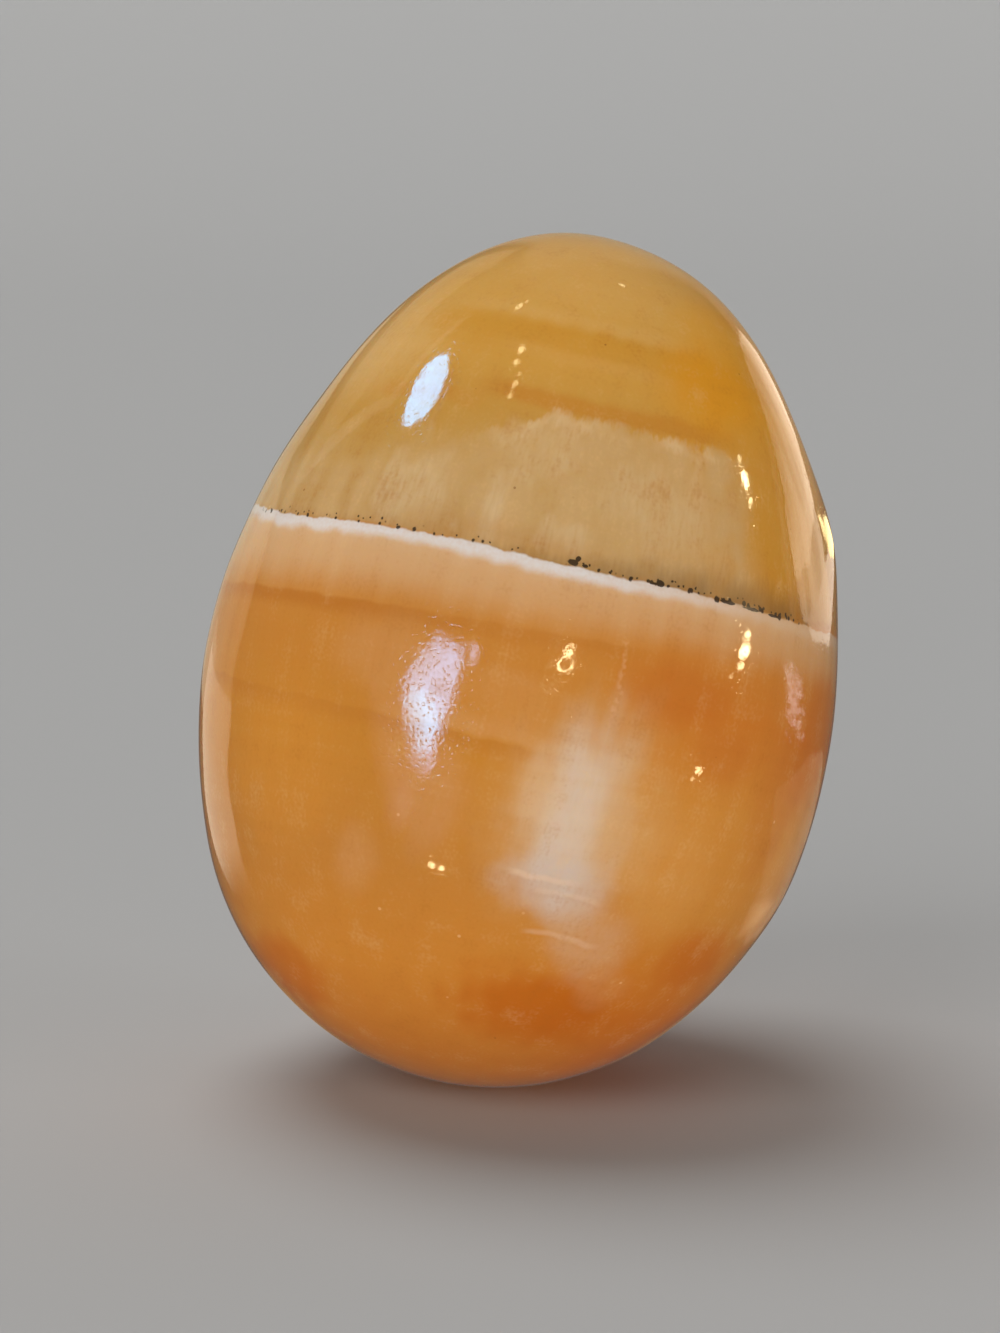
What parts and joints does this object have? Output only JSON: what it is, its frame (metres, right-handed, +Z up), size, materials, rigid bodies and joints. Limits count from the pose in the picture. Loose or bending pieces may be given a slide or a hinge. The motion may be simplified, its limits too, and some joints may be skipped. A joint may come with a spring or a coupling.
{
  "type": "onyx marble egg",
  "caption": "Polished banded onyx marble egg in honey and orange with a thin white vein, leaning a little on a small ground flat.",
  "frame": {"origin": "middle of the small flat that the egg rests on", "axes": "+Z up, out of the flat's back; the narrow end leans toward +X; the front that shows the white vein sloping down to the right faces -Y"},
  "size_m": [0.0562, 0.0556, 0.0745],
  "materials": {
    "onyx_marble": "polished, translucent banded honey and orange stone with a white vein"
  },
  "bodies": {
    "root": {"onyx_egg": "onyx_marble"}
  },
  "joints": []
}
